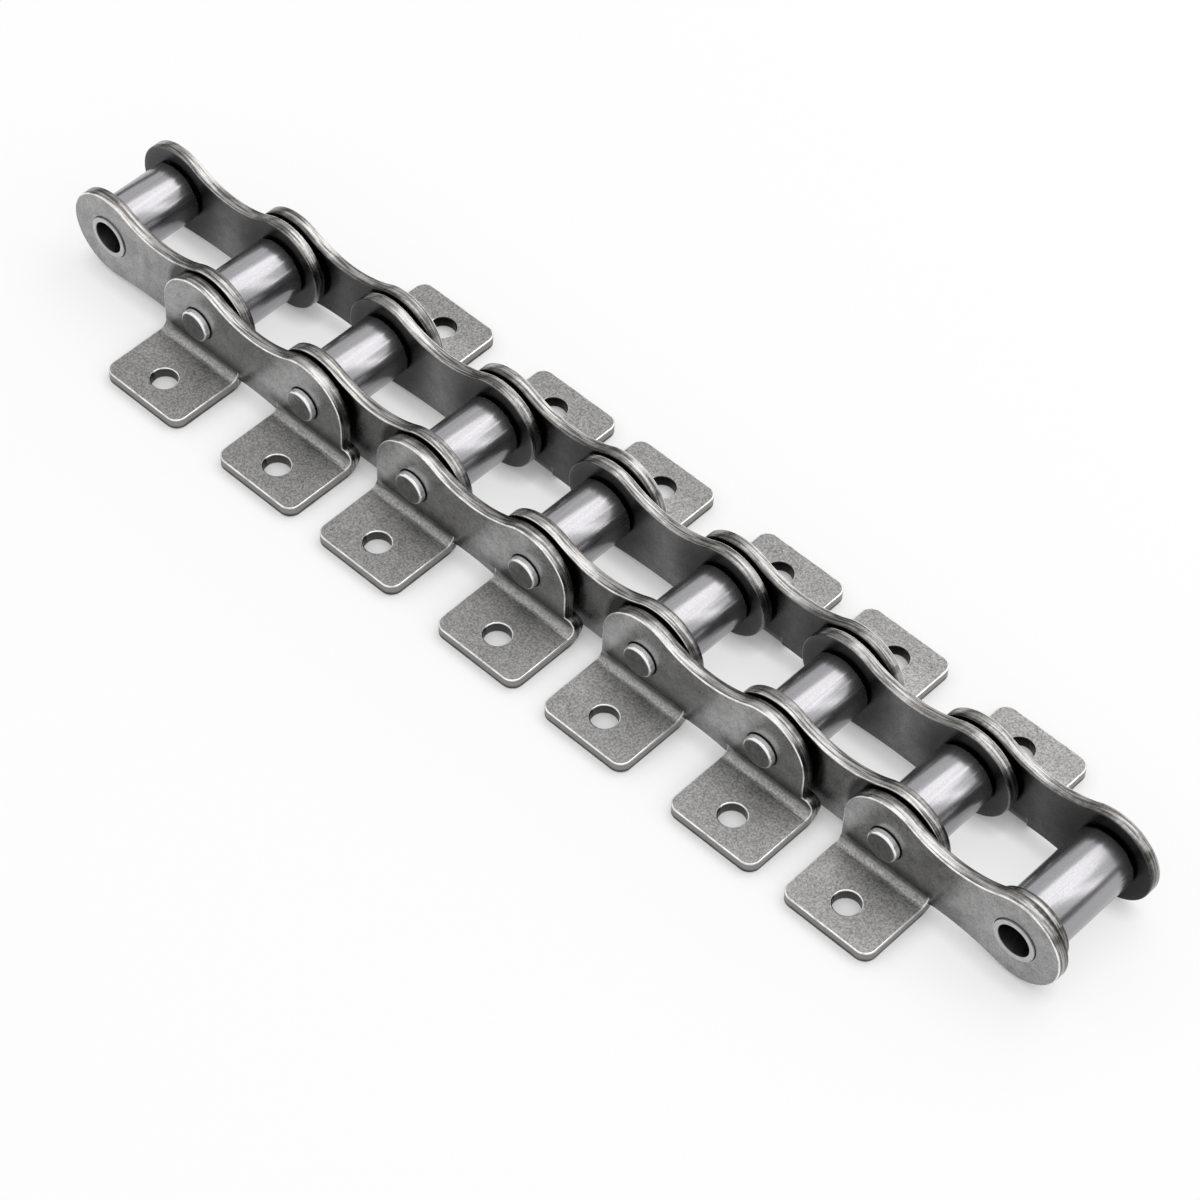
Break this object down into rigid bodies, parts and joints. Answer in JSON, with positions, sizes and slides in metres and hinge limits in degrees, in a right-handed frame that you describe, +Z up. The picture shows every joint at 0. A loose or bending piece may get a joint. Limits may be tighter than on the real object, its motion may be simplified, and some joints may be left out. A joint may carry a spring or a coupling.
{
  "type": "conveyor chain",
  "caption": "Steel roller chain with waisted link plates and bent attachment tabs with a hole each, for carrying slats or scrapers on a conveyor.",
  "frame": {"origin": "on the surface that the tabs rest on, in the chain's centre plane, midway between the first and the last station", "axes": "+X along the chain from the first station to the last, +Z up, away from the tabs' undersides; the front side faces -Y"},
  "size_m": [0.3592, 0.0856, 0.0288],
  "materials": {
    "plate_steel": "rolled, satin, slightly mottled",
    "roller_steel": "ground, bright satin",
    "bushing_steel": "turned, satin",
    "pin_steel": "turned, satin, bevelled ends"
  },
  "bodies": {
    "inner_link_1": {"inner_plate_front_1": "plate_steel", "inner_plate_rear_1": "plate_steel", "bushing_1": "bushing_steel", "bushing_2": "bushing_steel"},
    "outer_link_1": {"outer_plate_front_1": "plate_steel", "outer_plate_rear_1": "plate_steel", "pin_1": "pin_steel", "pin_2": "pin_steel"},
    "inner_link_2": {"inner_plate_front_2": "plate_steel", "inner_plate_rear_2": "plate_steel", "bushing_3": "bushing_steel", "bushing_4": "bushing_steel"},
    "outer_link_2": {"outer_plate_front_2": "plate_steel", "outer_plate_rear_2": "plate_steel", "pin_3": "pin_steel", "pin_4": "pin_steel"},
    "inner_link_3": {"inner_plate_front_3": "plate_steel", "inner_plate_rear_3": "plate_steel", "bushing_5": "bushing_steel", "bushing_6": "bushing_steel"},
    "outer_link_3": {"outer_plate_front_3": "plate_steel", "outer_plate_rear_3": "plate_steel", "pin_5": "pin_steel", "pin_6": "pin_steel"},
    "inner_link_4": {"inner_plate_front_4": "plate_steel", "inner_plate_rear_4": "plate_steel", "bushing_7": "bushing_steel", "bushing_8": "bushing_steel"},
    "outer_link_4": {"outer_plate_front_4": "plate_steel", "outer_plate_rear_4": "plate_steel", "pin_7": "pin_steel", "bushing_9": "bushing_steel", "end_spacer": "bushing_steel"},
    "roller_1": {"roller_1": "roller_steel"},
    "roller_2": {"roller_2": "roller_steel"},
    "roller_3": {"roller_3": "roller_steel"},
    "roller_4": {"roller_4": "roller_steel"},
    "roller_5": {"roller_5": "roller_steel"},
    "roller_6": {"roller_6": "roller_steel"},
    "roller_7": {"roller_7": "roller_steel"},
    "roller_8": {"roller_8": "roller_steel"},
    "roller_9": {"roller_9": "roller_steel"}
  },
  "joints": [
    {"name": "link_joint_1", "type": "hinge", "parent": "inner_link_1", "child": "outer_link_1", "pos_m": [-0.1242, 0, 0.0148], "axis": [0, -1, 0], "range_deg": [-15, 40]},
    {"name": "link_joint_2", "type": "hinge", "parent": "outer_link_1", "child": "inner_link_2", "pos_m": [-0.0828, 0, 0.0148], "axis": [0, -1, 0], "range_deg": [-15, 40]},
    {"name": "link_joint_3", "type": "hinge", "parent": "inner_link_2", "child": "outer_link_2", "pos_m": [-0.0414, 0, 0.0148], "axis": [0, -1, 0], "range_deg": [-15, 40]},
    {"name": "link_joint_4", "type": "hinge", "parent": "outer_link_2", "child": "inner_link_3", "pos_m": [0, 0, 0.0148], "axis": [0, -1, 0], "range_deg": [-15, 40]},
    {"name": "link_joint_5", "type": "hinge", "parent": "inner_link_3", "child": "outer_link_3", "pos_m": [0.0414, 0, 0.0148], "axis": [0, -1, 0], "range_deg": [-15, 40]},
    {"name": "link_joint_6", "type": "hinge", "parent": "outer_link_3", "child": "inner_link_4", "pos_m": [0.0828, 0, 0.0148], "axis": [0, -1, 0], "range_deg": [-15, 40]},
    {"name": "link_joint_7", "type": "hinge", "parent": "inner_link_4", "child": "outer_link_4", "pos_m": [0.1242, 0, 0.0148], "axis": [0, -1, 0], "range_deg": [-15, 40]},
    {"name": "roller_spin_1", "type": "hinge", "parent": "inner_link_1", "child": "roller_1", "pos_m": [-0.1656, 0, 0.0148], "axis": [0, 1, 0], "continuous": true},
    {"name": "roller_spin_2", "type": "hinge", "parent": "inner_link_1", "child": "roller_2", "pos_m": [-0.1242, 0, 0.0148], "axis": [0, 1, 0], "continuous": true},
    {"name": "roller_spin_3", "type": "hinge", "parent": "inner_link_2", "child": "roller_3", "pos_m": [-0.0828, 0, 0.0148], "axis": [0, 1, 0], "continuous": true},
    {"name": "roller_spin_4", "type": "hinge", "parent": "inner_link_2", "child": "roller_4", "pos_m": [-0.0414, 0, 0.0148], "axis": [0, 1, 0], "continuous": true},
    {"name": "roller_spin_5", "type": "hinge", "parent": "inner_link_3", "child": "roller_5", "pos_m": [0, 0, 0.0148], "axis": [0, 1, 0], "continuous": true},
    {"name": "roller_spin_6", "type": "hinge", "parent": "inner_link_3", "child": "roller_6", "pos_m": [0.0414, 0, 0.0148], "axis": [0, 1, 0], "continuous": true},
    {"name": "roller_spin_7", "type": "hinge", "parent": "inner_link_4", "child": "roller_7", "pos_m": [0.0828, 0, 0.0148], "axis": [0, 1, 0], "continuous": true},
    {"name": "roller_spin_8", "type": "hinge", "parent": "inner_link_4", "child": "roller_8", "pos_m": [0.1242, 0, 0.0148], "axis": [0, 1, 0], "continuous": true},
    {"name": "roller_spin_9", "type": "hinge", "parent": "outer_link_4", "child": "roller_9", "pos_m": [0.1656, 0, 0.0148], "axis": [0, 1, 0], "continuous": true}
  ]
}
